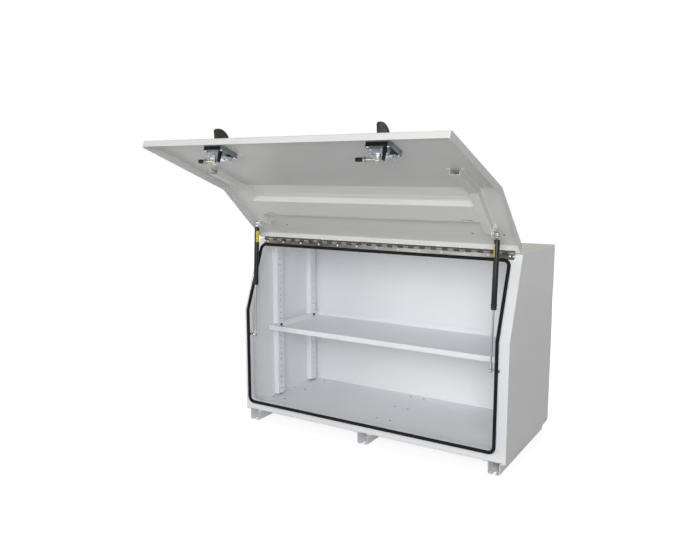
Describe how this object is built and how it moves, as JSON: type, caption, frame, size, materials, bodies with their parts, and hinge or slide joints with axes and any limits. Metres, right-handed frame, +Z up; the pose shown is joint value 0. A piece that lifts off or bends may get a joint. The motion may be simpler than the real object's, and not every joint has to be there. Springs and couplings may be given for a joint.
{
  "type": "aluminium toolbox",
  "caption": "Free-standing aluminium toolbox with a fold-up lid on gas struts, a sealed doorway, two turning latches, a shelf and channel feet.",
  "frame": {"origin": "the underside of the middle foot, at mid-depth", "axes": "+X to the right as seen from the doorway, +Y from the doorway to the back, +Z up"},
  "size_m": [1.28, 1.175, 1.3285],
  "materials": {
    "coated_aluminium": "white powder coat",
    "seal_rubber": "satin",
    "rivet_metal": "polished",
    "hinge_steel": "brushed",
    "dark_bolts": "dark zinc",
    "zinc_plate": "bright zinc",
    "chromed_rod": "polished",
    "passivated_steel": "yellow zinc",
    "black_plastic": "moulded",
    "black_paint": "gloss"
  },
  "bodies": {
    "carcass": {"left_side": "coated_aluminium", "right_side": "coated_aluminium", "body_wrap": "coated_aluminium", "front_frame": "coated_aluminium", "door_flange": "coated_aluminium", "door_seal": "seal_rubber", "left_foot": "coated_aluminium", "centre_foot": "coated_aluminium", "right_foot": "coated_aluminium", "foot_rivets": "rivet_metal", "shelf": "coated_aluminium", "left_front_strip": "coated_aluminium", "left_rear_strip": "coated_aluminium", "right_front_strip": "coated_aluminium", "right_rear_strip": "coated_aluminium", "shelf_bolts": "dark_bolts", "body_leaf": "hinge_steel", "hinge_pin": "hinge_steel", "leaf_screws": "rivet_metal", "left_ball_stud": "zinc_plate", "right_ball_stud": "zinc_plate"},
    "lid": {"lid_skin": "coated_aluminium", "lid_leaf": "hinge_steel", "lid_leaf_rivets": "rivet_metal", "left_channel": "coated_aluminium", "right_channel": "coated_aluminium", "cross_channel": "coated_aluminium", "lid_rivets": "rivet_metal", "left_bracket": "coated_aluminium", "right_bracket": "coated_aluminium", "left_upper_stud": "zinc_plate", "right_upper_stud": "zinc_plate", "left_latch_frame": "zinc_plate", "left_latch_dish": "black_plastic", "left_latch_housing": "zinc_plate", "left_latch_screws": "rivet_metal", "right_latch_frame": "zinc_plate", "right_latch_dish": "black_plastic", "right_latch_housing": "zinc_plate", "right_latch_screws": "rivet_metal"},
    "left_rod_body": {"left_rod": "chromed_rod", "left_rod_end": "zinc_plate"},
    "left_cylinder_body": {"left_cylinder": "black_paint", "left_collar": "zinc_plate", "left_top_end": "zinc_plate"},
    "left_spindle_body": {"left_spindle": "zinc_plate", "left_latch_arm": "passivated_steel", "left_latch_sleeve": "black_plastic", "left_handle_pin": "zinc_plate"},
    "left_handle_body": {"left_handle": "black_plastic"},
    "right_rod_body": {"right_rod": "chromed_rod", "right_rod_end": "zinc_plate"},
    "right_cylinder_body": {"right_cylinder": "black_paint", "right_collar": "zinc_plate", "right_top_end": "zinc_plate"},
    "right_spindle_body": {"right_spindle": "zinc_plate", "right_latch_arm": "passivated_steel", "right_latch_sleeve": "black_plastic", "right_handle_pin": "zinc_plate"},
    "right_handle_body": {"right_handle": "black_plastic"}
  },
  "joints": [
    {"name": "lid_hinge", "type": "hinge", "parent": "carcass", "child": "lid", "pos_m": [0, -0.17133, 0.85756], "axis": [1, 0, 0], "range_deg": [0, 110.5]},
    {"name": "left_strut_tilt", "type": "hinge", "parent": "carcass", "child": "left_rod_body", "pos_m": [-0.572, -0.3045, 0.421], "axis": [1, 0, 0], "range_deg": [-13.02, 0]},
    {"name": "left_strut_slide", "type": "slide", "parent": "left_rod_body", "child": "left_cylinder_body", "axis": [0, -0.0597, -0.9982], "range_m": [0, 0.19461], "stiffness_N_per_m": 100, "springref_m": -3.5},
    {"name": "left_latch_turn", "type": "hinge", "parent": "lid", "child": "left_spindle_body", "pos_m": [-0.345, -0.77624, 1.25152], "axis": [0, 0.3502, 0.9367], "range_deg": [0, 90]},
    {"name": "left_handle_fold", "type": "hinge", "parent": "left_spindle_body", "child": "left_handle_body", "pos_m": [-0.345, -0.77291, 1.26042], "axis": [0, 0.9367, -0.3502], "range_deg": [0, 90]},
    {"name": "right_strut_tilt", "type": "hinge", "parent": "carcass", "child": "right_rod_body", "pos_m": [0.572, -0.3045, 0.421], "axis": [1, 0, 0], "range_deg": [-13.02, 0]},
    {"name": "right_strut_slide", "type": "slide", "parent": "right_rod_body", "child": "right_cylinder_body", "axis": [0, -0.0597, -0.9982], "range_m": [0, 0.19461], "stiffness_N_per_m": 100, "springref_m": -3.5},
    {"name": "right_latch_turn", "type": "hinge", "parent": "lid", "child": "right_spindle_body", "pos_m": [0.345, -0.77624, 1.25152], "axis": [0, 0.3502, 0.9367], "range_deg": [0, 90]},
    {"name": "right_handle_fold", "type": "hinge", "parent": "right_spindle_body", "child": "right_handle_body", "pos_m": [0.345, -0.77291, 1.26042], "axis": [0, 0.9367, -0.3502], "range_deg": [0, 90]}
  ],
  "couplings": [
    {"joint": "left_strut_tilt", "follows": "lid_hinge", "ratio": -0.11737},
    {"joint": "left_strut_slide", "follows": "lid_hinge", "m_per_rad": 0.10086},
    {"joint": "right_strut_tilt", "follows": "lid_hinge", "ratio": -0.11737},
    {"joint": "right_strut_slide", "follows": "lid_hinge", "m_per_rad": 0.10086}
  ]
}
